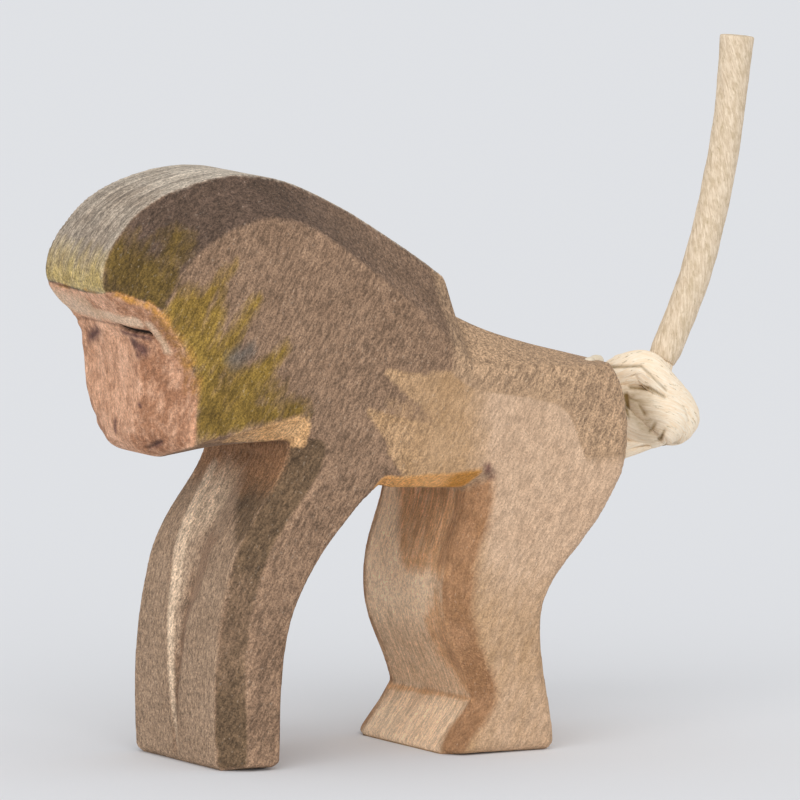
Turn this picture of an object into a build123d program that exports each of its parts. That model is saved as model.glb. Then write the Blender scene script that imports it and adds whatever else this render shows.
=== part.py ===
from build123d import *
from math import pi, radians, tan
import os

# A carved wooden monkey on all fours, with a knotted cord tail glued into its rump.
# +X runs from the face to the rump, +Y to the monkey's right, +Z up, in millimetres.
# The origin is on the floor, under the middle of the wooden body.

# The board that the body is sawn from
BOARD_THICKNESS = 25.4
BODY_LENGTH = 69.5
BODY_HEIGHT = 70.5

# How much of the board's thickness each bevel takes off, on either side
CHIN_TAPER = 9.2
MUZZLE_TAPER = 7.7
CROWN_TAPER = 5.6
LEG_TAPER = 2.7

# How far each bevel cuts into the outline at the side faces
CROWN_BEVEL = 5.6
MANE_END_BEVEL = 9.7
FACE_BEVEL = 4.5
JAW_BEVEL = 3.0
FRONT_LEG_BEVEL = 3.2
HIND_LEG_BEVEL = 2.6
EDGE_BEVEL = 0.8

# The groove between the two front legs
GROOVE_WIDTH = 9.0
GROOVE_DEPTH = 1.1

# The cord, its hole in the rump and the glue in the hole
CORD_DIAMETER = 3.7
BORE_HEIGHT = 39.2
BORE_DEPTH = 12.0
GLUE_FILM = 0.35
GLUE_FLOOR = 1.0
BEAD_WIDTH = 0.9
BEAD_HEIGHT = 0.7

# The knot behind the rump
KNOT_DIAMETER = 11.2
KNOT_LENGTH = 10.4
KNOT_WAIST = 10.0
KNOT_END_DIAMETER = 6.6
ROOT_IN_KNOT = 3.0
EYE_CLEARANCE = 0.35

# The knot's eye, where the free tail comes out: behind the rump and above the bore's axis
EYE_SETBACK = 10.45
EYE_RISE = 5.1

# The free tail's route from the eye to the cut end
TAIL_ROUTE = [
    (0.0, 0.0, 0.0),
    (3.0, 0.0, 6.3),
    (5.6, 0.0, 13.3),
    (7.6, 0.0, 20.7),
    (9.0, 0.0, 29.5),
    (9.8, 0.0, 38.3),
]
RUN_USED_SHARE = 0.45

OVERRUN = 1.0

# Each kind of edge: how far its bevel cuts in, and how much of the thickness it takes off
EDGE_KINDS = {
    "crown": (CROWN_BEVEL, CROWN_TAPER),
    "mane end": (MANE_END_BEVEL, CROWN_TAPER),
    "face": (FACE_BEVEL, CROWN_TAPER),
    "muzzle": (FACE_BEVEL, MUZZLE_TAPER),
    "chin": (FACE_BEVEL, CHIN_TAPER),
    "jaw": (JAW_BEVEL, CHIN_TAPER),
    "throat": (JAW_BEVEL, LEG_TAPER),
    "front leg": (FRONT_LEG_BEVEL, LEG_TAPER),
    "hind leg": (HIND_LEG_BEVEL, LEG_TAPER),
    "edge": (EDGE_BEVEL, EDGE_BEVEL),
}

# The side outline, from the throat down the front legs and round to the jaw.
# A row is a place, as shares of the body's length and height, the kind of edge there,
# and the way that its bevel cuts in, as shares of the bevel's depth.
# Each stretch is one smooth curve that starts where the last one ended.
THROAT_SHARES = (0.341, 0.550, "throat", 0.03, 1.03)
OUTLINE_SHARES = [
    [(0.337, 0.526, "front leg", 1.25, 0.44)],
    [
        (0.319, 0.480, "front leg", 1.25, 0.19),
        (0.276, 0.420, "front leg", 1.16, 0.16),
        (0.239, 0.361, "front leg", 1.09, 0.09),
        (0.203, 0.243, "front leg", 1.00, 0.00),
        (0.194, 0.121, "front leg", 0.94, 0.00),
        (0.197, 0.010, "front leg", 0.94, 0.00),
    ],
    [(0.206, 0.000, "front leg", 0.75, 0.16)],
    [(0.296, 0.000, "edge", -0.40, 0.60)],
    [(0.304, 0.011, "edge", -0.80, 0.20)],
    [
        (0.309, 0.121, "edge", -0.80, 0.00),
        (0.328, 0.249, "edge", -0.80, 0.10),
        (0.364, 0.325, "edge", -0.70, 0.40),
        (0.446, 0.420, "edge", -0.60, 0.50),
        (0.487, 0.453, "edge", -0.50, 0.80),
        (0.518, 0.461, "hind leg", -0.35, 0.50),
    ],
    [(0.685, 0.450, "hind leg", 1.00, 0.88)],
    [
        (0.679, 0.409, "hind leg", 1.00, 0.08),
        (0.658, 0.346, "hind leg", 1.00, 0.00),
        (0.642, 0.264, "hind leg", 1.00, 0.00),
        (0.646, 0.217, "hind leg", 0.97, 0.00),
        (0.669, 0.157, "hind leg", 0.97, 0.00),
        (0.694, 0.091, "hind leg", 0.93, 0.10),
    ],
    [(0.632, 0.000, "hind leg", 0.73, 0.12)],
    [(0.832, 0.000, "edge", -0.40, 0.60)],
    [(0.838, 0.011, "edge", -0.80, 0.20)],
    [
        (0.827, 0.100, "edge", -0.90, 0.00),
        (0.814, 0.207, "edge", -0.90, 0.00),
        (0.828, 0.274, "edge", -0.80, 0.40),
        (0.924, 0.379, "edge", -0.70, 0.60),
        (0.971, 0.450, "edge", -0.90, 0.30),
        (1.000, 0.536, "edge", -1.00, 0.00),
        (0.993, 0.597, "edge", -0.90, -0.40),
        (0.957, 0.651, "edge", -0.50, -0.90),
    ],
    [
        (0.852, 0.677, "crown", -0.02, -0.35),
        (0.744, 0.711, "crown", -0.03, -0.65),
        (0.681, 0.739, "crown", -0.05, -1.05),
    ],
    [(0.663, 0.804, "mane end", 0.03, -1.00)],
    [
        (0.574, 0.866, "crown", -0.20, -1.21),
        (0.468, 0.929, "crown", -0.29, -0.93),
        (0.360, 0.979, "crown", -0.25, -0.77),
        (0.256, 1.000, "crown", 0.09, -0.89),
        (0.130, 0.983, "crown", 0.54, -0.96),
        (0.041, 0.920, "crown", 0.88, -0.86),
        (0.000, 0.846, "crown", 1.00, -0.64),
        (0.009, 0.808, "crown", 0.77, -0.32),
    ],
    [(0.050, 0.757, "face", 0.60, -0.04)],
    [
        (0.069, 0.703, "face", 0.94, -0.09),
        (0.077, 0.644, "face", 1.02, -0.07),
        (0.077, 0.586, "muzzle", 0.90, 0.00),
        (0.082, 0.557, "chin", 0.80, 0.13),
        (0.113, 0.530, "jaw", 0.47, 0.63),
        (0.154, 0.525, "jaw", 0.00, 0.87),
    ],
    [THROAT_SHARES],
]

# The groove's stations, as shares of the body's length and height for its place on the legs' front,
# and of the groove's width and depth
GROOVE_SHARES = [
    (0.333, 0.520, 1.00, 1.00),
    (0.276, 0.420, 1.00, 1.00),
    (0.239, 0.361, 0.85, 1.00),
    (0.203, 0.243, 0.45, 0.80),
    (0.194, 0.121, 0.20, 0.50),
    (0.197, 0.010, 0.08, 0.25),
]


def on_body(x_share, z_share):
    # A place on the middle plane of the body, from shares of its length and height
    return Vector((x_share - 1 / 2) * BODY_LENGTH, 0, z_share * BODY_HEIGHT)


def bevelled_place(row, y):
    # The place of an outline row at one depth in the board, where its bevel has cut it back
    x_share, z_share, kind, inset_x_share, inset_z_share = row
    bevel, taper = EDGE_KINDS[kind]
    from_side = BOARD_THICKNESS / 2 - abs(y)
    cut = bevel * max(0, 1 - from_side / taper)
    return on_body(x_share, z_share) + Vector(inset_x_share * cut, y, inset_z_share * cut)


def outline_at(y):
    # The closed outline of the body at one depth in the board
    edges = []
    start = THROAT_SHARES
    for stretch in OUTLINE_SHARES:
        points = [bevelled_place(row, y) for row in [start] + stretch]
        edges.append(Line(*points) if len(points) == 2 else Spline(*points))
        start = stretch[-1]
    return Wire(edges)


def make_blank():
    # The sawn board with its knife bevels: straight cuts between the depths where a bevel starts
    tapers = {taper for bevel, taper in EDGE_KINDS.values()} | {0}
    far_levels = sorted(BOARD_THICKNESS / 2 - taper for taper in tapers)
    near_levels = [-y for y in reversed(far_levels)]
    return Solid.make_loft([outline_at(y) for y in near_levels + far_levels], True)


def make_groove():
    # The shallow vee between the front legs, widest at the chest and closing towards the sole
    sections = []
    for x_share, z_share, width_share, depth_share in GROOVE_SHARES:
        front = on_body(x_share, z_share)
        depth = GROOVE_DEPTH * depth_share
        slope = GROOVE_WIDTH * width_share / 2 / depth
        reach = (depth + OVERRUN) * slope
        bottom = front + Vector(depth, 0, 0)
        left = front + Vector(-OVERRUN, -reach, 0)
        right = front + Vector(-OVERRUN, reach, 0)
        sections.append(Wire.make_polygon([bottom, left, right], close=True))
    return Solid.make_loft(sections, True)


def along_x(radius, start, end):
    # A round bar on the bore's axis, between two places along the body
    plane = Plane(origin=(start, 0, BORE_HEIGHT), x_dir=(0, 1, 0), z_dir=(1, 0, 0))
    return extrude(plane * Circle(radius), end - start)


def tail_path():
    # Straight runs joined by arcs that are as large as the runs allow
    points = [eye + Vector(*place) for place in TAIL_ROUTE]
    runs = [after - before for before, after in zip(points, points[1:])]
    radii = []
    for run, next_run in zip(runs, runs[1:]):
        half_turn = radians(run.get_angle(next_run)) / 2
        radii.append(RUN_USED_SHARE * min(run.length, next_run.length) / tan(half_turn))
    print("tail radii", [round(radius, 1) for radius in radii])
    return FilletPolyline(*points, radius=radii)


rump = BODY_LENGTH / 2
cord_radius = CORD_DIAMETER / 2
bore_radius = cord_radius + GLUE_FILM
bore_end = rump - BORE_DEPTH

eye = Vector(rump + EYE_SETBACK, 0, BORE_HEIGHT + EYE_RISE)
tail_line = tail_path()
tail_direction = tail_line % 0
knot_middle = eye - tail_direction * (KNOT_LENGTH / 2)
root_end = knot_middle.X - KNOT_DIAMETER / 2 + ROOT_IN_KNOT

# The wooden body, with the groove between its front legs and the hole for the tail
blank = make_blank()
bore = along_x(bore_radius, bore_end, rump + OVERRUN)
wooden_body = blank - make_groove() - bore

# The cord's end in the hole, reaching out into the knot
tail_root = along_x(cord_radius, bore_end + GLUE_FLOOR, root_end)

# The glue: a thin cup round the cord in the hole, and the bead squeezed out at the rim
glue_cup = along_x(bore_radius, bore_end, rump)
glue_bead = along_x(bore_radius + BEAD_WIDTH, rump - OVERRUN, rump + BEAD_HEIGHT)
glue_bond = glue_cup + (glue_bead - blank) - tail_root

# The knot: two wraps of cord side by side round the tail, with an eye where the tail comes out
half_length = KNOT_LENGTH / 2
foot = (KNOT_END_DIAMETER / 2, -half_length)
lower_wrap = (KNOT_DIAMETER / 2, -half_length / 2)
waist = (KNOT_WAIST / 2, 0)
upper_wrap = (KNOT_DIAMETER / 2, half_length / 2)
top = (KNOT_END_DIAMETER / 2, half_length)
wrap_profile = Wire([
    Line((0, -half_length), foot),
    ThreePointArc(foot, lower_wrap, waist),
    ThreePointArc(waist, upper_wrap, top),
    Line(top, (0, half_length)),
    Line((0, half_length), (0, -half_length)),
])
profile_plane = Plane(origin=knot_middle, x_dir=(0, 1, 0), z_dir=Vector(0, 1, 0).cross(tail_direction))
tail_knot = revolve(profile_plane * Face(wrap_profile), Axis(knot_middle, tail_direction))
tail_knot = tail_knot - Pos(eye) * Sphere(cord_radius + EYE_CLEARANCE) - tail_root

# The free tail: a plain tube with a round lower end that turns in the knot's eye
tail_section = Plane(origin=eye, z_dir=tail_direction) * Circle(cord_radius)
tail_tube = sweep(tail_section, path=tail_line)
tail_cord = tail_tube + Pos(eye) * Sphere(cord_radius)
print("tail length", round(tail_line.length, 2))
print("tail volume", tail_tube.volume, "section times length", pi * cord_radius**2 * tail_line.length)

os.makedirs("parts", exist_ok=True)
for name, solid in [
    ("wooden_body", wooden_body),
    ("glue_bond", glue_bond),
    ("tail_root", tail_root),
    ("tail_knot", tail_knot),
    ("tail_cord", tail_cord),
]:
    export_step(solid, f"parts/{name}.step")
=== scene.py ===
# A small monkey on all fours, sawn and knife-cut from one board and stained with a brush,
# with a knotted cord glued into its rump as a tail. Places below are in millimetres and are
# made metres as they are used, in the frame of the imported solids.
import math

import bpy
import numpy as np
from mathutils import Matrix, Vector, noise
from mathutils.bvhtree import BVHTree


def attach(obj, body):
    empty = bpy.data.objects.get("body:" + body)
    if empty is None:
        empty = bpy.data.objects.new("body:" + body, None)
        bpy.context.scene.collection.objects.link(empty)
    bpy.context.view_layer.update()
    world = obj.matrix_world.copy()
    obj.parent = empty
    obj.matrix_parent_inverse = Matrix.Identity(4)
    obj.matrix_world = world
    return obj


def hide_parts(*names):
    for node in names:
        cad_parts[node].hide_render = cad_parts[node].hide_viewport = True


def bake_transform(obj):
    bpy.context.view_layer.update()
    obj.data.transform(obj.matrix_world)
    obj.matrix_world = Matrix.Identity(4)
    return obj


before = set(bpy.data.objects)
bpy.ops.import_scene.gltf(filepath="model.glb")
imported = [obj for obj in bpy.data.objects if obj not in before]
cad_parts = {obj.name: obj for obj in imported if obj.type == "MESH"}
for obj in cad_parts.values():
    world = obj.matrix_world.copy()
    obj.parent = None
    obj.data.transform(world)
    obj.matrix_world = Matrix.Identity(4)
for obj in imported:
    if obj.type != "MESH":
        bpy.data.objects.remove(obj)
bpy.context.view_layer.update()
bpy.ops.object.select_all(action="DESELECT")
MM = 0.001


# The wooden body: one board of pale close-grained wood, sawn to the animal's outline. A knife
# cut the bevels along the mane, face, jaw and legs, and handling has rubbed the edges round.
HALF_BOARD = 12.7
SEAM_GAP = 0.002
BODY_VOXEL = 0.44
RUB_SHARE, RUB_PASSES = 0.5, 2
KNIFE_WAVE, KNIFE_DEPTH = 8.0, 0.16
SIDE_FACING, RIM_FACING, FORWARD_FACING = 0.97, 0.22, -0.3
FACE_BACK, FACE_LOW, FACE_TOP = -25, 37, 58
FACE_REACH = -24

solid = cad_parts["wooden_body"]
carved = bpy.data.objects.new("carved_body", solid.data.copy())
bpy.context.scene.collection.objects.link(carved)
bpy.context.view_layer.objects.active = carved
carved.select_set(True)
carved.data.materials.clear()
bpy.ops.object.mode_set(mode="EDIT")
bpy.ops.mesh.select_all(action="SELECT")
bpy.ops.mesh.remove_doubles(threshold=SEAM_GAP * MM)
bpy.ops.object.mode_set(mode="OBJECT")
sawn_cuts = BVHTree.FromObject(carved, bpy.context.evaluated_depsgraph_get())

# The skin is made of even small faces, laid back on the sawn cuts, and its edges are rubbed.
close = carved.modifiers.new("close_skin", "REMESH")
close.mode, close.voxel_size, close.use_smooth_shade = "VOXEL", BODY_VOXEL * MM, True
bpy.ops.object.modifier_apply(modifier=close.name)
for corner in carved.data.vertices:
    corner.co = sawn_cuts.find_nearest(corner.co)[0]
rub = carved.modifiers.new("rubbed_edges", "SMOOTH")
rub.factor, rub.iterations = RUB_SHARE, RUB_PASSES
bpy.ops.object.modifier_apply(modifier=rub.name)


def skin_points():
    """The body's points in mm, and its normals."""
    found = np.empty((2, len(carved.data.vertices) * 3))
    carved.data.vertices.foreach_get("co", found[0])
    carved.data.vertex_normals.foreach_get("vector", found[1])
    return found[0].reshape(-1, 3) / MM, found[1].reshape(-1, 3)


def spread(values, passes):
    """Values on the body's points, each averaged with its neighbours' as often as asked."""
    ends = np.empty(len(carved.data.edges) * 2, int)
    carved.data.edges.foreach_get("vertices", ends)
    ends = ends.reshape(-1, 2)
    for _ in range(passes):
        total, shares = values.astype(float), np.ones(len(values))
        for one, other in (ends.T, ends.T[::-1]):
            np.add.at(total, one, values[other])
            np.add.at(shares, one, 1)
        values = total / (shares if values.ndim == 1 else shares[:, None])
    return values


def mark(layer, cover):
    """Keeps how fully a coat covers each point of the body, for the stain to read."""
    kept = carved.data.attributes.new(layer, "FLOAT", "POINT")
    kept.data.foreach_set("value", np.asarray(cover, np.float32))


def along(line, level):
    """A line's value at each level, from the points that it runs through."""
    return np.interp(level, *zip(*line))


# Handling wears the stain off where the skin stands proud of its surroundings, along the edges,
# and more at the front of the figure than behind.
HANDLED = [(-6, 1), (4, 0.3)]
PROUDEST = 99.5

places, normals = skin_points()
proud = spread(np.einsum("ij,ij->i", places - spread(places, 2), normals), 1)
handled = np.where(proud > 0, along(HANDLED, places[:, 0]), 1)
mark("proud", proud / np.percentile(proud, PROUDEST) * handled)

knife_strokes = bpy.data.textures.new("knife_strokes", "CLOUDS")
knife_strokes.noise_scale, knife_strokes.noise_depth = KNIFE_WAVE * MM, 1
cut = carved.modifiers.new("knife_cut", "DISPLACE")
cut.texture, cut.texture_coords = knife_strokes, "LOCAL"
cut.strength, cut.mid_level = KNIFE_DEPTH * MM, 0.5
bpy.ops.object.modifier_apply(modifier=cut.name)

# The face is cut finer than the rest: its skin is divided there before the slits go in.
bpy.ops.object.mode_set(mode="EDIT")
bpy.ops.mesh.select_mode(type="FACE")
bpy.ops.mesh.select_all(action="DESELECT")
bpy.ops.object.mode_set(mode="OBJECT")
for skin_face in carved.data.polygons:
    middle = skin_face.center / MM
    within = middle.x < FACE_BACK and FACE_LOW < middle.z < FACE_TOP
    skin_face.select = within and skin_face.normal.x < FORWARD_FACING
bpy.ops.object.mode_set(mode="EDIT")
bpy.ops.mesh.subdivide(number_cuts=1)
bpy.ops.object.mode_set(mode="OBJECT")

places, normals = skin_points()
skin = places.copy()
skin[:, 1] = np.abs(places[:, 1])
x, y, z = skin.T


def stroke(start, end, width, fade=0.8, end_width=None, on=None):
    """How fully a brush stroke from start to end covers each point, on both sides of the body alike."""
    on = skin if on is None else on
    start, run = np.array(start, float), np.array(end, float) - np.array(start, float)
    share = np.clip(((on - start) @ run) / max(run @ run, 1e-9), 0, 1)
    reach = np.linalg.norm(on - start - share[:, None] * run, axis=1)
    wide = width + share * ((width if end_width is None else end_width) - width)
    return np.clip((wide - reach) / fade + 0.5, 0, 1)


def on_face(start, end, width, fade, both=True):
    """A stroke on the face, given by its places across and up, on both halves or only where it is."""
    seen = (skin if both else places) * (0, 1, 1)
    return (x < FACE_REACH) * stroke((0, *start), (0, *end), width, fade, on=seen)


def over(level, fade):
    """From none to full as a signed distance in mm goes up through 0."""
    return np.clip(level / fade + 0.5, 0, 1)


def hump(level, middle, half):
    """A smooth swell, full at the middle and gone half its width away."""
    return np.clip(1 - ((level - middle) / half) ** 2, 0, 1)


def all_of(*covers):
    """The coat that several strokes leave together."""
    return np.maximum.reduce(covers)


def strokes(rows):
    """The coat of several strokes, each row a strength and then what one stroke takes."""
    return all_of(*(strength * stroke(*row) for strength, *row in rows))


def on_side(rows):
    """The coat of several strokes on the flat side, given by their places along and up."""
    covers = []
    for strength, (x_from, z_from), (x_to, z_to), *row in rows:
        start, end = (x_from, HALF_BOARD, z_from), (x_to, HALF_BOARD, z_to)
        covers.append(strength * stroke(start, end, *row))
    return all_of(*covers)


def on_front(rows):
    """The coat of several strokes on the front, given by their places across and up, where each is."""
    seen = places * (0, 1, 1)
    covers = []
    for strength, start, end, *row in rows:
        covers.append(strength * stroke((0, *start), (0, *end), *row, on=seen))
    return all_of(*covers)


# Which cut each point lies on: the flat side, a bevel, or the board's narrow edge.
cut_normals = np.array([sawn_cuts.find_nearest(Vector(place * MM))[1] for place in places])
facing = np.abs(cut_normals[:, 1])
side = spread(facing > SIDE_FACING, 2)
rim = spread(facing < RIM_FACING, 2)
bevel = np.clip(1 - side - rim, 0, 1)
forward = spread(cut_normals[:, 0] < FORWARD_FACING, 2)
across = places[:, 1]
in_face = x < FACE_REACH

# The knife's small cuts in the face: a slit under the brow on either side, the crease between
# them, a nick at the mouth, and the hollows of the eyes below the slits. The mane is shaved a
# little lower in front, and the rump's upper corners are cut back.
SLIT = ((4.4, 52.9), (9.3, 52.4), 0.24, 0.34)
CREASE = ((0, 52.95), (4.4, 52.9), 0.10, 0.34)
MOUTH = ((-4.9, 38.3), (-7.8, 39.4), 0.12, 0.34)
HOLLOW = ((2.0, 51.6), (8.8, 51.2), 0.9, 1.6)
SLIT_DEPTH, CREASE_DEPTH, MOUTH_DEPTH, HOLLOW_DEPTH = 0.8, 0.25, 0.4, 0.35
FAR_SLIT_SHARE = 0.35
SHAVED_BACK, SHAVED_DOWN, TRIMMED_IN = 0.3, 0.65, 1.3

slit = on_face(*SLIT) * np.where(across > 0, FAR_SLIT_SHARE, 1)
crease = on_face(*CREASE)
mouth = on_face(*MOUTH, both=False)
hollow = on_face(*HOLLOW)
shaved = np.exp(-(((x + 24) / 7) ** 2)) * np.clip((z - 55) / 7, 0, 1)
trimmed = hump(z, 40.5, 8) * (y / HALF_BOARD) ** 2 * np.clip((x - 24) / 9, 0, 1)
moved = places.copy()
moved[:, 0] += SLIT_DEPTH * slit + CREASE_DEPTH * crease + MOUTH_DEPTH * mouth + HOLLOW_DEPTH * hollow
moved[:, 0] += SHAVED_BACK * shaved - TRIMMED_IN * trimmed
moved[:, 2] -= SHAVED_DOWN * shaved

# The saw's line wanders a little from the even outline: each bend has how far back it goes, its
# height and half its length. The feet are rubbed round below, and the far jaw is rubbed smooth.
CAP_BENDS = [(0.3, 62.5, 4)]
FAR_FACE_BENDS = [(0.5, 40.2, 1.6), (0.25, 48.8, 3.8), (0.25, 53.2, 1.3), (-0.25, 55.8, 1.5)]
CHEST_BENDS = [(-0.45, 30, 9)]
HIND_FRONT_BENDS = [(-0.4, 24.5, 9), (-0.4, 0, 4)]
HIND_BACK_BENDS = [(0.35, 21.5, 4), (-0.3, 29.5, 5)]
BELLY_RISE = 0.5
FOOT_HEIGHT, FOOT_RUB, TOE_RISE = 1.1, 0.5, 0.3
JAW_PASSES = 28

for region, bends in (
    (over(-31 - x, 2), CAP_BENDS),
    (over(-25 - x, 2) * over(across - 2, 3), FAR_FACE_BENDS),
    (forward * over(-8 - x, 2), CHEST_BENDS),
    (forward * over(x - 5, 2), HIND_FRONT_BENDS),
    (over(x - 17, 4), HIND_BACK_BENDS),
):
    for depth, height, half in bends:
        moved[:, 0] += depth * region * hump(z, height, half)
foot = np.clip(1 - z / FOOT_HEIGHT, 0, 1) ** 2
moved[:, :2] -= FOOT_RUB * foot[:, None] * normals[:, :2]
moved[:, 2] += BELLY_RISE * hump(x, -2, 4.5) * hump(z, 32, 3.5)
moved[:, 2] += TOE_RISE * foot * over(y - 11, 2) * over(-8 - x, 2)
far_jaw = over(-24.5 - x, 2) * over(across - 1, 3) * hump(z, 40, 4.5)
moved += far_jaw[:, None] * (spread(moved, JAW_PASSES) - moved)
moved[:, 2] = np.maximum(moved[:, 2], 0)
carved.data.vertices.foreach_set("co", (moved * MM).ravel())
carved.data.update()

# Where the coats of stain end, as lines of points: the cap's edge along the head, the face's
# outline up the cheek, the dark back's edge along the body, and the shade's edges on the hind legs.
CAP_EDGE = [(-34.3, 57.3), (-33.4, 57.3), (-30.7, 56.3), (-29.0, 55.2)]
FACE_LINE = [(39, -25.4), (43, -25.0), (47, -25.1), (50.7, -26.6), (54.2, -29), (57.3, -31)]
BACK_LINE = [(9, 46.2), (13.2, 44.2), (19.7, 43.1), (23.5, 42.1), (25.7, 40.6), (27, 37.6), (28, 35)]
SHADE_EDGE = [(21, 0.5), (31, 6.8)]
KNEE_EDGE = [(7, -9.2), (8, -8.1), (10.7, -5.7), (13.8, -4.4), (16.4, -5.1), (20, -7.5)]

cap_edge = along(CAP_EDGE, x) - 0.5 * over(-32.5 - x, 1) * hump(across, -2, 6)
head = over(z - np.where(x < -27.5, cap_edge, 46.5), 0.5) * over(12.4 - x, 0.6)
face_line = along(FACE_LINE, z)
face = over(face_line - x, 0.7) * over(cap_edge - z, 0.4) * over(z - 36, 0.5)
cheek_edge = over(0.5 - np.abs(face_line - x), 1.4) * (1 - rim)
under_back = over(along(BACK_LINE, x) - z, 0.9)
hindquarters = over(x - 9.5, 3)
front_leg = over(-8 - x, 2) * over(36 - z, 4)
leg_bevel = bevel * forward * over(y - 7.5, 1) * over(-5.0 - x, 1) * over(39.0 - z, 1)
hind_front = forward * over(x - 7, 1) * over(19 - x, 1) * over(33 - z, 1)
hind_patch = hind_front * (1 - side)
knee = along(KNEE_EDGE, z) - across
belly_strip = bevel * over(z - 31.2, 0.5) * over(35 - z, 0.5) * over(13.7 - x - 0.7 * (34 - z), 0.6)
jaw_strip = bevel * over(z - 38.0, 0.5) * over(43 - z, 0.5) * over(x + 24.6, 1) * over(-9.6 - x, 0.6)

# How strong some coats are along the body or up it.
CROWN_RUN = [(-20, 1), (-10, 0.75), (2, 0.42), (12, 0.38)]
LINED_RUN = [(-34.5, 0.4), (-30, 1)]
COMBED_RISE = [(14, 0.6), (18, 0.1), (22, 0.1), (25, 0.8)]
ROSY_RISE = [(5, 0.65), (11, 0.40), (16, 0.40), (24, 1)]
RUMP_FADE = [(25, 0.9), (28, 3.6)]
TAN_RISE = [(4, 0.1), (7, 0.6)]
JAW_RUN = [(-22, 0.25), (-14, 1)]
DARK_RISE = [(4, 0.90), (14, 0.52), (22, 0.52), (28, 1.0)]
WARM_PASSES = 6

# The brush's strokes, coat by coat. Each has its strength, where it starts and ends, its width, how
# soft its edge is and, where it tapers, its width at the end.
CAP_FRONT_STROKES = [(1, (-35.5, 0, 58.0), (-35.5, 7, 58.0), 3.1, 5.4)]
# A painted highlight along the brow's ledge just above the slits, and down the temple at the slit's outer
# end.
BROW_STROKES = [
    (1, (-8.8, 53.7), (0, 54.1), 0.60, 0.6),
    (1, (0, 54.1), (9.0, 54.6), 0.90, 0.9),
    (0.8, (0.5, 55.0), (9.0, 55.4), 1.20, 1.4),
]
TEMPLE, TEMPLE_STRENGTH = ((10.2, 53.4), (10.6, 50.4), 0.50, 0.7), 0.9
FACE_SMUDGES = [
    (1, (-4.4, 52.2), (-8.8, 51.8), 0.30, 0.7),
    (1, (-6.2, 51.2), (-7.8, 50.2), 0.65, 1.0),
    (1, (-7.0, 50.0), (-7.2, 49.4), 0.25, 0.7),
    (1, (2.2, 51.6), (4.8, 50.6), 0.60, 1.2),
    (0.9, (-0.5, 41.2), (-0.2, 39.9), 0.25, 0.6),
    (0.9, (-6.2, 43.7), (-6.4, 43.5), 0.22, 0.4),
    (0.8, (-5.4, 38.3), (-7.8, 39.3), 0.25, 0.6),
]
THIGH_SMUDGES = [(1, (14.2, 12.7, 34.4), (14.6, 12.6, 33.2), 0.55, 0.9)]
FLANK_STROKES = [
    (1, (0.6, 46.5), (9.5, 42.0), 0.4, 0.9, 3.0),
    (1, (-1.9, 41.9), (6.0, 36.5), 0.4, 0.9, 3.6),
    (1, (1.2, 37.0), (6.0, 34.0), 0.6, 0.9, 3.0),
    (0.45, (1.0, 42.6), (7.0, 40.0), 1.0, 1.6, 2.0),
]
OCHRE_STROKES = [
    (1, (-26.6, 54.4), (-22.4, 42.0), 3.6, 3.0, 2.6),
    (1, (-26.0, 54.0), (-20.0, 61.2), 1.5, 1.6, 0.3),
    (1, (-24.0, 50.0), (-21.6, 58.0), 2.2, 1.8, 0.3),
    (1, (-22.5, 48.5), (-16.8, 56.2), 1.8, 1.8, 0.3),
    (1, (-19.5, 44.5), (-12.8, 50.4), 2.2, 1.8, 0.3),
]
OLIVE_STROKES = [
    (1, (-23.4, 42.4), (-12.0, 42.6), 1.6, 2.2),
    (0.8, (-20.8, 46.4), (-15.2, 44.6), 1.8, 3.2),
]
MOSS_STROKES = [
    (1, (-33.4, 8.2, 61.4), (-30.0, 11.4, 57.0), 3.4, 4.0),
    (1, (-28.6, 11.6, 58.4), (-26.6, 10.6, 63.8), 1.5, 2.8),
    (1, (-30.5, 11.2, 57.4), (-27.2, 12.4, 58.6), 1.6, 2.0),
]
SLATE_STROKES = [(1, (-20.2, 49.2), (-18.0, 50.2), 0.7, 2.0)]
CAP_RIM_STROKES = [
    (0.75, (-34.4, 1, 57.0), (-33.4, 8.3, 57.0), 0.15, 0.5),
    (0.80, (-33.4, 8.3, 57.0), (-30.7, 11.3, 56.0), 0.40, 0.7),
    (0.80, (-30.7, 11.3, 56.0), (-29.0, 12.7, 54.4), 0.40, 0.7),
]
# Where the dark of the front legs' near bevels is carried up under the chest, partly as painted shade.
ARMPIT, ARMPIT_STRENGTH = ((-13.0, -7.6, 32.6), (-17.0, -9.8, 26.0), 4.6, 2.6, 1.2), 0.85
KNEE, KNEE_STRENGTH = ((9.9, -7.8, 20.5), (11.8, -8.8, 11.0), 1.4, 3.0), 0.6
BARE_STROKES = [
    (0.70, (2.6, 35.0), (2.0, 23.5), 3.2, 4.4, 1.0),
    (1, (6.0, 34.0), (3.5, 24.5), 1.1, 0.8, 1.0),
    (1, (3.5, 24.5), (1.6, 14.0), 0.9, 0.6, 0.5),
    (0.7, (2.2, 23.5), (1.0, 13.0), 1.0, 2.2, 0.2),
    (1, (1.6, 14.0), (0.4, 5.4), 0.5, 0.6, 0.25),
    (1, (0.4, 5.4), (-0.3, 2.2), 0.25, 0.6, 0.12),
]
# Painted shadow along the step under the cap's edge, given across and up on the face.
CAP_STEP_SHADOW_STROKES = [
    (0.8, (7.6, 57.35), (-2.0, 56.85), 0.14, 0.4),
    (0.7, (-2.0, 56.85), (-5.4, 57.15), 0.10, 0.4),
]

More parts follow.
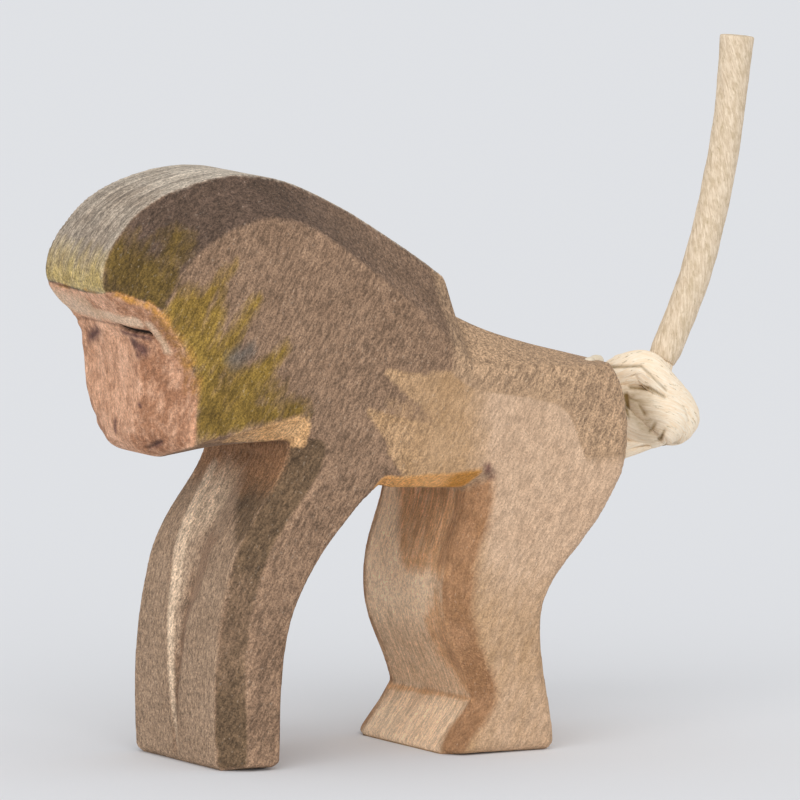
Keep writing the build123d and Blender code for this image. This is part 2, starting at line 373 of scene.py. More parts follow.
mark("calm", all_of(over(x - 4, 6) * over(along(BACK_LINE, x) - z, 2), 0.8 * face))
mark("crown", bevel * head * along(CROWN_RUN, x))
mark("crown_top", rim * head)
# The crown's top is paler towards the back.
mark("paler_crown_back", rim * head * over(x + 24, 8))
mark("lined", rim * head * along(LINED_RUN, x))
mark("combed", rim * hind_front * along(COMBED_RISE, z))
mark("cap_front", rim * head * strokes(CAP_FRONT_STROKES))
mark("face", face)
mark("ruddy", face * np.clip(0.46 * (1 - rim) + 0.28, 0, 1))
# Painted highlight on the brow's ledge and down the temple.
mark("brow", face * all_of(in_face * on_front(BROW_STROKES), TEMPLE_STRENGTH * on_face(*TEMPLE)))
mark("smudge", all_of(in_face * on_front(FACE_SMUDGES), strokes(THIGH_SMUDGES)))
mark("flank", over(x + 2.5, 0.5) * all_of(
    over(x - 6.0, 2.5) * under_back,
    on_side(FLANK_STROKES),
    over(x - 14, 4) * over(38 - z, 10),
))
mark("rosy", over(x - 13, 5) * under_back * along(ROSY_RISE, z))
mark("rump", hindquarters * over(z - along(BACK_LINE, x) + 0.7, along(RUMP_FADE, x)))
mark("spine", rim * hindquarters * over(z - 42, 3))
mark("shin", rim * front_leg)
# The hind legs' fronts under the belly are painted much paler than their stain, as painted light standing in
# for the light that the belly and the front legs keep off them.
mark("peach", rim * hind_front)
mark("tan", rim * hind_front * over(15 - z, 5) * along(TAN_RISE, z))
mark("ochre", side * on_side(OCHRE_STROKES))
mark("olive", side * on_side(OLIVE_STROKES))
mark("moss", bevel * head * strokes(MOSS_STROKES))
mark("slate", side * on_side(SLATE_STROKES))
mark("rust", 0.8 * cheek_edge * over(z - 47, 5) * over(55.4 - z, 0.6))
# The undercut strips under the belly and the jaw face the floor: their orange is partly the bare wood's own
# and partly painted light bounced up from the floor. The orange coat also lines the cap's lower rim.
mark("belly", belly_strip * over(x + 1.0, 1))
mark("orange", all_of(belly_strip * over(x - 9.6, 2), strokes(CAP_RIM_STROKES)))
mark("jaw", jaw_strip * along(JAW_RUN, x))
# Dark brown under the jaw on the chest, where it is partly painted shade under the jaw's overhang; at the
# foot of the hind legs' bevels; beside the dark patch under the belly; and down beside the knee.
mark("chest", all_of(
    rim * over(x + 16, 3) * over(-4 - x, 1) * over(z - 33, 4),
    0.60 * bevel * hind_front * over(6 - z, 4),
    0.75 * hind_patch * over(z - 21.6, 2.4) * over(across + 11.2, 0.8) * over(-7.6 - across, 3),
    0.55 * rim * hind_front * over(knee - 1.8, 2.4) * over(16.5 - z, 4) * over(z - 7.2, 1),
))
# Dark stain on the front legs' near bevels, strongest at the top and at the foot, carried up under the
# chest, where it is partly painted shade.
mark("dark", all_of(
    leg_bevel * along(DARK_RISE, z),
    ARMPIT_STRENGTH * rim * stroke(*ARMPIT, on=places),
))
# A patch of dark brown stain under the belly, painted paler than the stain itself as painted light, as the
# peach is; darker brown strokes down beside the knee; and a thin painted shadow along the instep's crease.
mark("shade", hind_patch * all_of(
    0.85 * over(z - 21.2, 1.8) * over(across + 10.4, 1.0) * over(along(SHADE_EDGE, z) - across, 1.8),
    0.90 * rim * over(knee, 3.0) * over(18 - z, 5) * over(z - 6.8, 1),
    0.85 * rim * hump(z, 6.1 - 0.035 * across, 0.45),
))
warm = hind_patch * all_of(over(y - 9.2, 1.4), KNEE_STRENGTH * stroke(*KNEE, on=places))
mark("warm", spread(warm, WARM_PASSES))
mark("bare", over(35 - z, 5) * forward * over(-8 - x, 1) * on_front(BARE_STROKES))
# Painted shadow in the knife's slits, the crease between them and the mouth's nick, and along the step under
# the cap's edge.
mark("cut_shadow", all_of(slit, 0.75 * crease, 0.7 * mouth, in_face * on_front(CAP_STEP_SHADOW_STROKES)))

# The stain: thin water stain brushed on in coats, so that the grain shows through each of them,
# and among them coats of painted light and shade. Each coat has the colours where it is thin
# and full, how ragged its edge is, and how soft.
BARE_COAT = ((0.330, 0.208, 0.132, 1), (0.258, 0.160, 0.100, 1))
COATS = [
    ("flank", (0.450, 0.274, 0.142, 1), (0.525, 0.332, 0.186, 1), 0.35, 0.28),
    ("rosy", (0.660, 0.455, 0.305, 1), (0.590, 0.398, 0.262, 1), 0.35, 0.40),
    ("rump", (0.450, 0.293, 0.180, 1), (0.505, 0.331, 0.202, 1), 0.20, 0.20),
    ("spine", (0.410, 0.268, 0.168, 1), (0.460, 0.304, 0.190, 1), 0.30, 0.30),
    ("shin", (0.400, 0.272, 0.180, 1), (0.335, 0.223, 0.144, 1), 0.25, 0.35),
    ("peach", (0.990, 0.738, 0.508, 1), (0.930, 0.660, 0.440, 1), 0.25, 0.25),
    ("tan", (0.640, 0.415, 0.248, 1), (0.540, 0.335, 0.192, 1), 0.40, 0.45),
    ("dark", (0.185, 0.117, 0.066, 1), (0.138, 0.087, 0.049, 1), 0.20, 0.20),
    ("warm", (0.440, 0.240, 0.125, 1), (0.360, 0.188, 0.090, 1), 0.35, 0.30),
    ("shade", (0.790, 0.450, 0.232, 1), (0.630, 0.350, 0.176, 1), 0.50, 0.40),
    ("chest", (0.400, 0.215, 0.110, 1), (0.310, 0.162, 0.080, 1), 0.30, 0.40),
    ("bare", (0.800, 0.600, 0.425, 1), (0.680, 0.500, 0.350, 1), 0.25, 0.40),
    ("crown", (0.146, 0.093, 0.066, 1), (0.098, 0.062, 0.042, 1), 0.15, 0.30),
    ("crown_top", (0.460, 0.380, 0.300, 1), (0.340, 0.270, 0.206, 1), 0.15, 0.20),
    ("paler_crown_back", (0.660, 0.572, 0.467, 1), (0.528, 0.445, 0.354, 1), 0.40, 0.45),
    ("cap_front", (0.580, 0.440, 0.180, 1), (0.430, 0.310, 0.115, 1), 0.50, 0.45),
    ("ochre", (0.325, 0.204, 0.042, 1), (0.236, 0.144, 0.030, 1), 0.80, 0.45),
    ("olive", (0.275, 0.174, 0.036, 1), (0.195, 0.118, 0.024, 1), 0.80, 0.45),
    ("moss", (0.178, 0.112, 0.028, 1), (0.122, 0.075, 0.019, 1), 0.80, 0.45),
    ("slate", (0.190, 0.165, 0.140, 1), (0.150, 0.128, 0.108, 1), 0.60, 0.45),
    ("face", (0.810, 0.475, 0.310, 1), (0.670, 0.368, 0.225, 1), 0.20, 0.20),
    ("ruddy", (0.410, 0.200, 0.110, 1), (0.350, 0.160, 0.085, 1), 1.00, 0.40),
    ("brow", (0.760, 0.545, 0.385, 1), (0.650, 0.435, 0.285, 1), 0.40, 0.40),
    ("smudge", (0.190, 0.092, 0.070, 1), (0.140, 0.066, 0.052, 1), 0.40, 0.40),
    ("rust", (0.440, 0.225, 0.060, 1), (0.360, 0.180, 0.048, 1), 0.90, 0.50),
    ("belly", (0.860, 0.465, 0.185, 1), (0.750, 0.370, 0.122, 1), 0.25, 0.25),
    ("orange", (0.640, 0.330, 0.090, 1), (0.560, 0.255, 0.055, 1), 0.70, 0.40),
    ("jaw", (0.800, 0.490, 0.245, 1), (0.640, 0.358, 0.155, 1), 0.35, 0.30),
    ("cut_shadow", (0.030, 0.018, 0.014, 1), (0.012, 0.008, 0.007, 1), 0.15, 0.40),
]
PALE_FLECK = (0.80, 0.68, 0.54, 1)
GRAIN_TURN = math.radians(-30)
PORE_STRENGTH, PORE_DEPTH = 0.8, 0.25
WOOD_ROUGHNESS, WOOD_SHINE = 0.78, 0.25


def wired(tree, kind, feeds=(), **settings):
    """One shader node, set up and fed with values or with other nodes' outputs."""
    made = tree.nodes.new(kind)
    for setting, value in settings.items():
        setattr(made, setting, value)
    for socket, feed in dict(feeds).items():
        if isinstance(feed, bpy.types.NodeSocket):
            tree.links.new(feed, made.inputs[socket])
        else:
            made.inputs[socket].default_value = feed
    return made


def flecks(tree, spot, stretch, detail, roughness=0.6):
    """Noise on a place, finer or coarser along each axis by the stretch."""
    drawn = wired(tree, "ShaderNodeVectorMath", {0: spot, 1: stretch}, operation="MULTIPLY").outputs[0]
    feeds = {"Vector": drawn, "Scale": 1, "Detail": detail, "Roughness": roughness}
    return wired(tree, "ShaderNodeTexNoise", feeds).outputs[0]


def between(tree, value, low, high, least, most):
    """The value's run from low to high, made a run from least to most."""
    feeds = {"Value": value, "From Min": low, "From Max": high, "To Min": least, "To Max": most}
    return wired(tree, "ShaderNodeMapRange", feeds).outputs[0]


def mixed(tree, share, first, second):
    """Two colours mixed by a share."""
    return wired(tree, "ShaderNodeMix", {0: share, 6: first, 7: second}, data_type="RGBA").outputs[2]


stained = bpy.data.materials.new("stained_wood")
stained.use_nodes = True
wood = stained.node_tree
wood_shader = wood.nodes["Principled BSDF"]
spot = wired(wood, "ShaderNodeTexCoord").outputs["Object"]
lengthwise = wired(wood, "ShaderNodeMapping", {"Vector": spot, "Rotation": (0, GRAIN_TURN, 0)}).outputs[0]
pores = flecks(wood, lengthwise, (2500, 2500, 850), 2, 0.7)
rings = flecks(wood, spot, (80, 1300, 80), 2, 0.55)
furrows = flecks(wood, spot, (150, 2700, 150), 2, 0.55)
specks = flecks(wood, spot, (4400, 4400, 4400), 2, 0.6)
sparks = flecks(wood, lengthwise, (3200, 3200, 1900), 1)
streaks = flecks(wood, lengthwise, (800, 800, 240), 3, 0.65)
blotches = between(wood, flecks(wood, spot, (260, 260, 260), 3), 0.35, 0.65, 0, 1)

stain = mixed(wood, blotches, *BARE_COAT)
for layer, thin, full, ragged, soft in COATS:
    cover = wired(wood, "ShaderNodeAttribute", attribute_name=layer).outputs["Fac"]
    torn = between(wood, streaks, 0.3, 0.7, -ragged / 2, ragged / 2)
    pulled = wired(wood, "ShaderNodeMath", {0: cover, 1: torn}, operation="ADD").outputs[0]
    share = between(wood, pulled, 0.5 - soft, 0.5 + soft, 0, 1)
    wet = between(wood, cover, 0.0, 0.08, 0, 1)
    share = wired(wood, "ShaderNodeMath", {0: share, 1: wet}, operation="MULTIPLY").outputs[0]
    stain = mixed(wood, share, stain, mixed(wood, blotches, thin, full))

stain = mixed(wood, between(wood, sparks, 0.66, 0.76, 0, 0.14), stain, PALE_FLECK)
worn = wired(wood, "ShaderNodeAttribute", attribute_name="proud").outputs["Fac"]
lined = wired(wood, "ShaderNodeAttribute", attribute_name="lined").outputs["Fac"]
scored = between(wood, rings, 0.40, 0.62, -0.27, 0.25)
combed = wired(wood, "ShaderNodeAttribute", attribute_name="combed").outputs["Fac"]
furrowed = between(wood, furrows, 0.38, 0.62, -0.26, 0.16)
calm = wired(wood, "ShaderNodeAttribute", attribute_name="calm").outputs["Fac"]
tone = wired(wood, "ShaderNodeMath", {
    0: between(wood, pores, 0.34, 0.66, 0.62, 1.32), 1: between(wood, specks, 0.34, 0.66, 0.66, 1.32),
}, operation="MULTIPLY").outputs[0]
tone = wired(wood, "ShaderNodeMix", {0: between(wood, calm, 0, 1, 0, 0.45), 2: tone, 3: 1.0}).outputs[0]
# The tone: scored by rings on the crown's top and furrows on the hind legs' fronts, lighter where handling
# wore the stain off the proud skin, and darker in its hollows.
for grade in (
    wired(wood, "ShaderNodeMath", {0: scored, 1: lined, 2: 1.0}, operation="MULTIPLY_ADD").outputs[0],
    wired(wood, "ShaderNodeMath", {0: furrowed, 1: combed, 2: 1.0}, operation="MULTIPLY_ADD").outputs[0],
    between(wood, worn, 0.35, 1.0, 1.0, 1.25),
    between(wood, worn, -1.0, -0.3, 0.75, 1.0),
):
    tone = wired(wood, "ShaderNodeMath", {0: tone, 1: grade}, operation="MULTIPLY").outputs[0]
toned = wired(wood, "ShaderNodeVectorMath", {0: stain, "Scale": tone}, operation="SCALE").outputs[0]
relief = wired(wood, "ShaderNodeMath", {0: pores, 1: specks}, operation="ADD").outputs[0]
bump_feeds = {"Height": relief, "Strength": PORE_STRENGTH, "Distance": PORE_DEPTH * MM}
bump = wired(wood, "ShaderNodeBump", bump_feeds).outputs[0]
wood.links.new(toned, wood_shader.inputs["Base Color"])
wood.links.new(bump, wood_shader.inputs["Normal"])
wood_shader.inputs["Roughness"].default_value = WOOD_ROUGHNESS
wood_shader.inputs["Specular IOR Level"].default_value = WOOD_SHINE
carved.data.materials.append(stained)
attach(carved, "body")
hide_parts("wooden_body")


# The dried glue: a lumpy collar of yellowish wood glue round the cord where it enters the rump,
# and a few smears of it on the edge of the back.
COLLAR_MIDDLE = (34.9, 0, 39.2)
COLLAR_RADIUS, COLLAR_ROLL = 2.5, 0.6
LUMP_SIZE, LUMP_HEIGHT, LUMP_LEVEL = 1.2, 0.35, 0.4
GLUE_THIN, GLUE_THICK = (0.50, 0.37, 0.22, 1), (0.92, 0.86, 0.72, 1)
GLUE_ROUGHNESS = 0.42
SMEARS = [
    ((31.2, -8.6, 45.7), (0.95, 0.8, 0.75)),
    ((29.9, -9.3, 45.9), (0.7, 0.5, 0.40)),
    ((32.0, -7.6, 45.3), (0.6, 0.5, 0.50)),
]

bpy.ops.object.select_all(action="DESELECT")
bpy.ops.mesh.primitive_torus_add(
    major_segments=72, minor_segments=18, major_radius=COLLAR_RADIUS * MM, minor_radius=COLLAR_ROLL * MM,
    location=Vector(COLLAR_MIDDLE) * MM, rotation=(0, math.pi / 2, 0),
)
collar = bpy.context.object
collar.name = "glue_collar"
bpy.ops.object.transform_apply(location=True, rotation=True, scale=True)
for smear_middle, smear_size in SMEARS:
    bpy.ops.mesh.primitive_ico_sphere_add(
        subdivisions=4, radius=MM, location=Vector(smear_middle) * MM, scale=smear_size,
    )
    bpy.ops.object.transform_apply(location=True, rotation=True, scale=True)
    collar.select_set(True)
    bpy.context.view_layer.objects.active = collar
    bpy.ops.object.join()
lumps = bpy.data.textures.new("glue_lumps", "CLOUDS")
lumps.noise_scale = LUMP_SIZE * MM
swell = collar.modifiers.new("lumps", "DISPLACE")
swell.texture, swell.texture_coords = lumps, "LOCAL"
swell.strength, swell.mid_level = LUMP_HEIGHT * MM, LUMP_LEVEL
bpy.ops.object.modifier_apply(modifier=swell.name)
bpy.ops.object.shade_smooth()

glue = bpy.data.materials.new("dried_glue")
glue.use_nodes = True
glue_tree = glue.node_tree
glue_shader = glue_tree.nodes["Principled BSDF"]
spot = wired(glue_tree, "ShaderNodeTexCoord").outputs["Object"]
clouded = flecks(glue_tree, spot, (900, 900, 900), 3)
milky = mixed(glue_tree, clouded, GLUE_THIN, GLUE_THICK)
glue_tree.links.new(milky, glue_shader.inputs["Base Color"])
glue_shader.inputs["Roughness"].default_value = GLUE_ROUGHNESS
collar.data.materials.append(glue)
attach(collar, "body")
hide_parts("glue_bond")


# The knot: the tail's own cord, glued into the rump and tied close behind it in an overhand
# knot. The soft strands of raw fibre are pressed flat where they cross. Its turns are given
# from the knot's middle, as seen from the figure's left front: to the right, up and nearer.
KNOT_MIDDLE = (43.0, 0.0, 39.6)
ROOT_ROUTE = [(30.0, 0.0, 39.2), (36.5, 0.0, 39.2)]
KNOT_TURNS = [
    (-3.4, -2.2, 3.0),
    (-1.2, -4.0, 2.2),
    (1.0, -4.6, 0.0),
    (2.0, -3.4, -2.8),
    (2.2, 0.4, -4.2),
    (-0.4, 3.4, -3.2),
    (-4.2, 3.4, -0.6),
    (-3.0, 3.8, 2.4),
    (-0.2, 4.4, 3.0),
    (1.5, 2.4, 3.4),
    (3.7, -0.2, 2.1),
    (5.0, -2.4, 0.8),
    (4.6, -3.8, -0.6),
    (0.6, -3.9, -3.2),
    (-3.2, -1.2, -2.8),
    (-4.8, 1.4, 0.0),
    (-2.8, 0.5, 2.4),
    (0.3, -0.8, 3.6),
    (3.2, -2.5, 3.1),
    (3.4, -4.0, 1.0),
    (1.4, -2.0, -0.8),
    (1.0, 1.4, -0.4),
    (1.65, 4.2, -0.45),
    (2.25, 5.5, -0.62),
]
# Gaps of painted shade between the bundles, the first the painted shadow in the hollow beside the rump. Each
# runs from a start to an end, given to the right and up from the knot's middle, with its width at the start
# and at the end.
FIBRE_GAPS = [
    ((-2.45, 0.4), (-2.1, -2.2), 0.34, 0.04),
    ((-2.0, 0.2), (-0.4, -0.5), 0.06, -0.10),
    ((-0.9, -0.6), (-0.2, -1.8), 0.02, 0.13),
    ((1.1, -2.9), (0.5, -3.9), 0.06, 0.08),
    ((2.2, -3.8), (1.7, -4.8), 0.04, 0.14),
    ((-1.9, 1.5), (0.3, 1.3), 0.12, 0.16),
    ((0.3, 1.3), (2.2, 0.3), 0.14, 0.02),
    ((-4.4, 3.9), (-0.6, 4.0), 0.10, 0.04),
    ((-0.6, 4.0), (2.4, 1.1), 0.02, 0.00),
]
GAP_DEPTH, GAP_FADE = 0.3, 0.55
TOUCH_REACH, TOUCH_FADE, OWN_RUN = 1.65, 0.55, 1.6
# Where painted shade dulls the middle of the knot beside the hollow: its start and end, given to the right
# and up from the knot's middle, its width and how soft its edge is.
KNOT_SHADE_PATCH = ((-1.4, 0.2, 0), (0.2, -3.4, 0), 1.8, 2.4)
LOOSE_FIBRES = [
    ([(-5.0, 2.6, 1.6), (-2.4, 2.7, 3.1), (-0.4, 2.75, 3.6),
      (1.4, 2.2, 3.7), (2.9, 1.4, 3.2), (4.2, 0.2, 2.2)], 2.5, 0.45),
    ([(-6.0, -6.6, 2.6), (-3.2, -6.45, 2.5), (-1.0, -6.05, 2.2), (0.6, -5.75, 1.9)], 2.6, 0.85),
    ([(-5.6, -5.6, 3.0), (-3.2, -5.6, 3.0), (-1.2, -5.3, 2.6), (0.3, -5.2, 2.2)], 2.2, 0.85),
    ([(3.0, -4.6, 1.4), (2.0, -5.4, 1.4), (0.9, -5.5, 1.2)], 0.6, 0.85),
]
STRAND_WIDTH, STRAND_TWIST = 3.7, 0.2
STRAND_PRESS, PRESS_REACH, PRESS_FREE = 0.22, 2.5, 0.4
SLUB, SLUB_RUN = 0.03, 0.30
BUNDLES, BUNDLE_RUN = 1.7, 0.12
THREADS, THREAD_RUN, THREAD_SHARE = 5.0, 0.25, 0.6
END_ROUNDING = ((0.95, 0.14), (0.80, 0.08), (0.55, 0.02), (0.30, 0.0))
KNOT_STEPS, KNOT_SIDES, KNOT_RIDGES, KNOT_THINNING = 16, 64, 0.10, 0.3
TUFT_STEPS, TUFT_SIDES, TUFT_RIDGES = 12, 32, 0.15
# The fibre's colours: the worn pair is the tail's, and the knot's where painted shade falls; the clean pair
# is the rest of the knot's; the mottles and slits are the fibre's own browns, and the gaps' brown is painted
# shade.
WORN_AND_SHADED_FIBRE = ((0.61, 0.475, 0.33, 1), (0.90, 0.755, 0.58, 1))
CLEAN_FIBRE = ((0.93, 0.73, 0.51, 1), (1.00, 0.90, 0.74, 1))
MOTTLE_BROWN, SLIT_BROWN, GAP_SHADE_BROWN = (0.55, 0.43, 0.28, 1), (0.44, 0.34, 0.20, 1), (0.20, 0.12, 0.03, 1)
FUZZ_STRENGTH, FUZZ_DEPTH = 0.6, 0.2
FIBRE_ROUGHNESS, FIBRE_SHINE = 0.85, 0.2
VIEW_TURN, VIEW_RISE = math.radians(-29), math.radians(6.6)


def spline_points(name, route, steps):
    """Points along a smooth cord route, read from a curve with the route as its control points."""
    curve = bpy.data.curves.new(name, "CURVE")
    curve.dimensions, curve.resolution_u = "3D", steps
    spline = curve.splines.new("NURBS")
    spline.points.add(len(route) - 1)
    for point, place in zip(spline.points, route):
        point.co = (*(Vector(place) * MM), 1)
    spline.order_u, spline.use_endpoint_u = 3, True
    guide = bpy.data.objects.new(name, curve)
    bpy.context.scene.collection.objects.link(guide)
    line = bpy.data.meshes.new_from_object(guide.evaluated_get(bpy.context.evaluated_depsgraph_get()))
    read = [Vector(vertex.co) for vertex in line.vertices]
    bpy.data.objects.remove(guide)
    bpy.data.meshes.remove(line)
    return read


def fibre_cord(name, line, width, around, ridges, swell, pressed_on=None):
    """A cord of twisted fibre along a line, its bundles shallow ridges and its two ends closed."""
    line = np.array(line)
    ahead = np.gradient(line, axis=0)
    ahead /= np.linalg.norm(ahead, axis=1)[:, None]
    run = np.concatenate([[0], np.cumsum(np.linalg.norm(np.diff(line, axis=0), axis=1))]) / MM
    across = np.cross(ahead[0], (0.1, 1, 0.2))
    points, lays, faces = [], [], []
    for step, (middle, way, gone) in enumerate(zip(line, ahead, run)):
        across = across - way * (across @ way)
        across /= np.linalg.norm(across)
        up = np.cross(way, across)
        slub = SLUB * noise.noise((0.3, 0.7, SLUB_RUN * gone))
        flat, out = 0.0, up
        if pressed_on is not None:
            out = middle - np.array(pressed_on) * MM
            out = out - way * (out @ way)
            reach = np.linalg.norm(out)
            out = out / reach
            flat = STRAND_PRESS * min(1.0, max(0.0, reach / MM / PRESS_REACH - PRESS_FREE))
        beside = np.cross(way, out)
        for part in range(around):
            turn = 2 * math.pi * part / around
            laid = turn + STRAND_TWIST * gone
            bundle = noise.noise((BUNDLES * math.cos(laid), BUNDLES * math.sin(laid), BUNDLE_RUN * gone))
            thread = noise.noise((THREADS * math.cos(laid), THREADS * math.sin(laid), THREAD_RUN * gone + 9))
            uneven = 1 + ridges * (bundle + THREAD_SHARE * thread) + slub
            radius = width / 2 * swell(gone / run[-1]) * uneven
            reached = radius * MM * (math.cos(turn) * across + math.sin(turn) * up)
            reached = reached + flat * (beside * (beside @ reached) - out * (out @ reached))
            points.append(tuple(middle + reached))
            lays.append((math.cos(laid) * width / 2, math.sin(laid) * width / 2, gone))
            if step:
                low, high = (step - 1) * around + part, (step - 1) * around + (part + 1) % around
                faces.append((low, high, high + around, low + around))
    mesh = bpy.data.meshes.new(name)
    mesh.from_pydata(points, [], faces)
    kept = mesh.attributes.new("lay", "FLOAT_VECTOR", "POINT")
    kept.data.foreach_set("vector", np.array(lays, np.float32).ravel())
    cord = bpy.data.objects.new(name, mesh)
    bpy.context.scene.collection.objects.link(cord)
    bpy.ops.object.select_all(action="DESELECT")
    bpy.context.view_layer.objects.active = cord
    cord.select_set(True)
    rounding = width / STRAND_WIDTH * MM
    for end, push in ((0, -ahead[0]), (len(line) - 1, ahead[-1])):
        bpy.ops.object.mode_set(mode="EDIT")
        bpy.ops.mesh.select_mode(type="VERT")
        bpy.ops.mesh.select_all(action="DESELECT")
        bpy.ops.object.mode_set(mode="OBJECT")
        for part in range(around):
            cord.data.vertices[end * around + part].select = True
        bpy.ops.object.mode_set(mode="EDIT")
        for shrink, lift in END_ROUNDING:
            rise = push * lift * rounding * swell(end / (len(line) - 1))
            bpy.ops.mesh.extrude_region_move(TRANSFORM_OT_translate={"value": tuple(rise)})
            bpy.ops.transform.resize(value=(shrink,) * 3, center_override=tuple(line[end] + rise))
        bpy.ops.mesh.merge(type="CENTER")
        bpy.ops.object.mode_set(mode="OBJECT")
    bpy.ops.object.mode_set(mode="EDIT")
    bpy.ops.mesh.select_all(action="SELECT")
    bpy.ops.mesh.normals_make_consistent(inside=False)
    bpy.ops.object.mode_set(mode="OBJECT")
    bpy.ops.object.shade_smooth()
    return cord


toward = Vector((
    math.sin(VIEW_TURN) * math.cos(VIEW_RISE),
    -math.cos(VIEW_TURN) * math.cos(VIEW_RISE),
    math.sin(VIEW_RISE),
))
rightward = Vector((math.cos(VIEW_TURN), math.sin(VIEW_TURN), 0))
upward = toward.cross(rightward)


def by_the_knot(turns):
    """Places given from the knot's middle, in the body's frame."""
    middle = Vector(KNOT_MIDDLE)
    return [tuple(middle + right * rightward + high * upward + near * toward) for right, high, near in turns]


def knot_swell(share):
    """The knot's strand is even, and thins over the last twenty-fifth of its run, into the tail."""
    return 1 - KNOT_THINNING * max(0.0, 25 * share - 24)


knot_line = spline_points("knot_route", ROOT_ROUTE + by_the_knot(KNOT_TURNS), KNOT_STEPS)
knot = fibre_cord(
    "tail_knot_cord", knot_line, STRAND_WIDTH, KNOT_SIDES, KNOT_RIDGES, knot_swell, KNOT_MIDDLE,
)

# Painted shade darkens the creases where the strands are drawn against each other, and a few
# gaps open between the bundles on the side towards the front, with painted shade in them; the
# gap beside the rump is a painted shadow, and painted shade dulls the middle of the knot beside it.
around_knot, outward, laid = (np.empty(len(knot.data.vertices) * 3) for _ in range(3))
knot.data.vertices.foreach_get("co", around_knot)
knot.data.vertex_normals.foreach_get("vector", outward)
knot.data.attributes["lay"].data.foreach_get("vector", laid)
around_knot, outward, laid = (found.reshape(-1, 3) for found in (around_knot, outward, laid))
strand = np.array(knot_line)
strand_run = np.concatenate([[0], np.cumsum(np.linalg.norm(np.diff(strand, axis=0), axis=1))]) / MM
crease_shade = np.zeros(len(laid))
for place, reached in zip(strand, strand_run):
    away = np.linalg.norm(around_knot - place, axis=1) / MM
    near = np.clip(1 - (away - TOUCH_REACH) / TOUCH_FADE, 0, 1)
    crease_shade = np.maximum(crease_shade, near * (np.abs(laid[:, 2] - reached) > OWN_RUN * STRAND_WIDTH))
seen = (around_knot / MM - np.array(KNOT_MIDDLE)) @ np.array([rightward, upward, toward]).T
front = over(seen[:, 2] - 0.5, 1) * over(outward @ np.array(toward) - 0.15, 0.3)
crease_shade = crease_shade * (1 - 0.75 * front * over(seen[:, 0] - 2.2, 1.5))
opened = front * all_of(*(
    stroke((*start, 0), (*end, 0), width, GAP_FADE, end_width, on=seen * (1, 1, 0))
    for start, end, width, end_width in FIBRE_GAPS
))
knot.data.vertices.foreach_set("co", (around_knot - GAP_DEPTH * MM * opened[:, None] * outward).ravel())
knot_shade = front * stroke(*KNOT_SHADE_PATCH, on=seen * (1, 1, 0))
painted_shade = all_of(opened, 0.55 * crease_shade, 0.22 * knot_shade)
for layer, cover in (("gap_shade", painted_shade), ("clean_unshaded", 1 - 0.95 * knot_shade)):
    kept = knot.data.attributes.new(layer, "FLOAT", "POINT")
    kept.data.foreach_set("value", cover.astype(np.float32))
knot.data.update()
for number, (turns, width, taper) in enumerate(LOOSE_FIBRES):
    fibre_line = spline_points("loose_route", by_the_knot(turns), TUFT_STEPS)
    tuft = fibre_cord(
        f"loose_fibre_{number}", fibre_line, width, TUFT_SIDES, TUFT_RIDGES, lambda share: 1 - taper * share,
    )
    kept = tuft.data.attributes.new("clean_unshaded", "FLOAT", "POINT")
    kept.data.foreach_set("value", np.ones(len(tuft.data.vertices), np.float32))
    knot.select_set(True)
    bpy.context.view_layer.objects.active = knot
    bpy.ops.object.join()

fibre = bpy.data.materials.new("raw_fibre_and_painted_shade")
fibre.use_nodes = True
plant = fibre.node_tree
plant_shader = plant.nodes["Principled BSDF"]
lay = wired(plant, "ShaderNodeAttribute", attribute_name="lay").outputs["Vector"]
clean_unshaded = wired(plant, "ShaderNodeAttribute", attribute_name="clean_unshaded").outputs["Fac"]
gap_shade = wired(plant, "ShaderNodeAttribute", attribute_name="gap_shade").outputs["Fac"]
hairs = flecks(plant, lay, (5.5, 5.5, 0.8), 3)
mottle = flecks(plant, lay, (1.5, 1.5, 0.9), 3, 0.65)
slits = flecks(plant, lay, (3.6, 3.6, 1.3), 3)
hairy = between(plant, hairs, 0.32, 0.68, 0, 1)
worn_and_shaded_pale = mixed(plant, hairy, *WORN_AND_SHADED_FIBRE)
worn_and_shaded_pale = mixed(plant, between(plant, mottle, 0.46, 0.66, 0, 0.75), worn_and_shaded_pale, MOTTLE_BROWN)
clean_pale = mixed(plant, hairy, *CLEAN_FIBRE)
pale = mixed(plant, clean_unshaded, worn_and_shaded_pale, clean_pale)
pale = mixed(plant, between(plant, slits, 0.60, 0.70, 0, 0.7), pale, SLIT_BROWN)
torn_hairs = between(plant, hairs, 0.35, 0.6, 0.75, 1)
gap_shade_share = wired(plant, "ShaderNodeMath", {0: gap_shade, 1: torn_hairs}, operation="MULTIPLY").outputs[0]
pale = mixed(plant, between(plant, gap_shade_share, 0.05, 0.65, 0, 0.95), pale, GAP_SHADE_BROWN)
plant.links.new(pale, plant_shader.inputs["Base Color"])
fuzz_feeds = {"Height": hairs, "Strength": FUZZ_STRENGTH, "Distance": FUZZ_DEPTH * MM}
fuzz = wired(plant, "ShaderNodeBump", fuzz_feeds).outputs[0]
plant.links.new(fuzz, plant_shader.inputs["Normal"])
plant_shader.inputs["Roughness"].default_value = FIBRE_ROUGHNESS
plant_shader.inputs["Specular IOR Level"].default_value = FIBRE_SHINE
knot.data.materials.append(fibre)
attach(knot, "body")
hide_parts("tail_knot", "tail_root")


# The free tail: the same cord, from the eye of the knot to its square-cut end. It is stiff
# enough to stand up in a gentle curve.
TAIL_ROUTE = [
    (45.2, 0.0, 44.3),
    (48.5, 0.0, 50.6),
    (51.0, 0.0, 57.6),
    (53.0, 0.0, 65.0),
    (54.7, 0.0, 73.8),
    (55.6, 0.0, 82.7),
]
TAIL_WIDTH, TAIL_LENGTH = 3.7, 39.8
TAIL_STEPS, TAIL_SIDES, TAIL_RIDGES = 60, 72, 0.045
ROOT_WIDTH_SHARE, TIP_FLARE = 0.9, 0.12


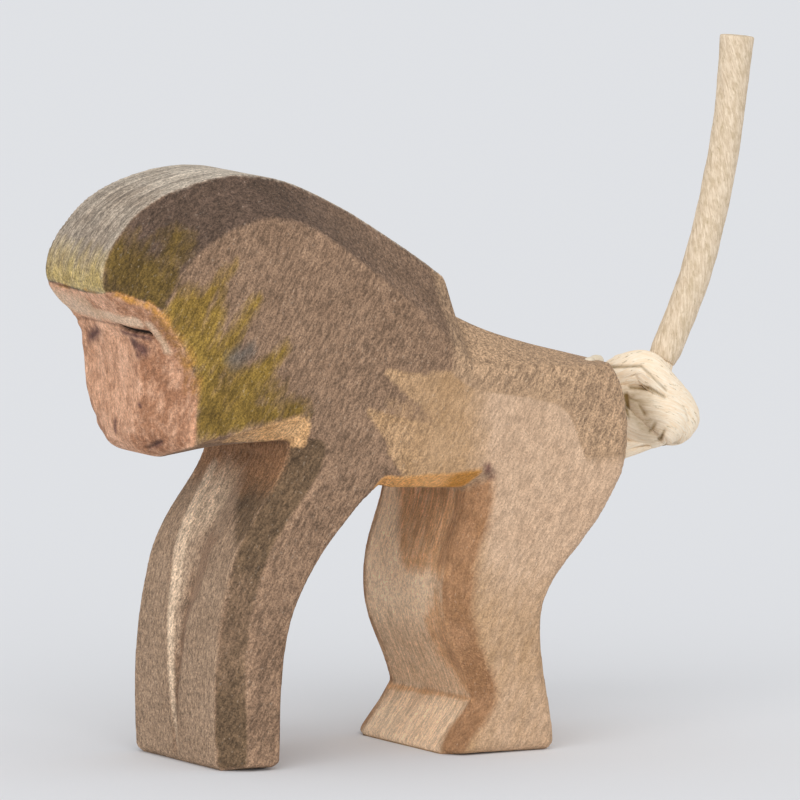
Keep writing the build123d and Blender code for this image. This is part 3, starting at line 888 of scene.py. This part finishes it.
def tail_swell(share):
    """The tail is a little thinner where it leaves the knot, and flares towards its cut end."""
    return min(1.0, ROOT_WIDTH_SHARE + 3 * share) + TIP_FLARE * max(0.0, 6.7 * share - 5.7)


tail_line = spline_points("tail_route", TAIL_ROUTE, TAIL_STEPS)
tail = fibre_cord("tail_cord_laid", tail_line, TAIL_WIDTH, TAIL_SIDES, TAIL_RIDGES, tail_swell)
tail.data.materials.append(fibre)
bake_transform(tail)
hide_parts("tail_cord")


# The floor: a plain pale sheet that the figure stands on, as wide as any view of it needs.
FLOOR_SIZE = 12000
FLOOR_COLOUR = (0.785, 0.80, 0.83, 1)

bpy.ops.object.select_all(action="DESELECT")
bpy.ops.mesh.primitive_plane_add(size=FLOOR_SIZE * MM)
floor = bpy.context.object
floor.name = "floor"
sheet = bpy.data.materials.new("pale_sheet")
sheet.use_nodes = True
sheet_shader = sheet.node_tree.nodes["Principled BSDF"]
sheet_shader.inputs["Base Color"].default_value = FLOOR_COLOUR
sheet_shader.inputs["Roughness"].default_value = 1
sheet_shader.inputs["Specular IOR Level"].default_value = 0
floor.data.materials.append(sheet)


# The light: a bright room from all sides, with one broad soft lamp above the figure's left front.
ROOM_LEVEL = 0.76
LAMP_LEVEL, LAMP_SPREAD = 1.75, math.radians(75)
LAMP_FROM = (-0.58, -0.76, 0.30)

scene = bpy.context.scene
scene.view_settings.view_transform = "Standard"
room = bpy.data.worlds.new("room")
room.use_nodes = True
scene.world = room
backdrop = room.node_tree.nodes["Background"]
backdrop.inputs["Color"].default_value = (1, 1, 1, 1)
backdrop.inputs["Strength"].default_value = ROOM_LEVEL
lamp = bpy.data.lights.new("soft_lamp", "SUN")
lamp.energy, lamp.angle = LAMP_LEVEL, LAMP_SPREAD
lamp_stand = bpy.data.objects.new("soft_lamp", lamp)
scene.collection.objects.link(lamp_stand)
lamp_stand.rotation_euler = Vector(LAMP_FROM).to_track_quat("Z", "Y").to_euler()


# The camera: far back with a long lens, turned to the figure's left front and a little above it.
CAMERA_AIM = (9.3, 0, 41.4)
CAMERA_BACK, CAMERA_DEPTH = 2000, 20000
FIELD_WIDTH, SENSOR_WIDTH = 95.24, 36

eye = bpy.data.cameras.new("camera")
eye.sensor_width = SENSOR_WIDTH
eye.lens = SENSOR_WIDTH * CAMERA_BACK / FIELD_WIDTH
eye.clip_end = CAMERA_DEPTH * MM
camera = bpy.data.objects.new("camera", eye)
scene.collection.objects.link(camera)
camera.location = (Vector(CAMERA_AIM) + toward * CAMERA_BACK) * MM
camera.rotation_euler = toward.to_track_quat("Z", "Y").to_euler()
scene.camera = camera
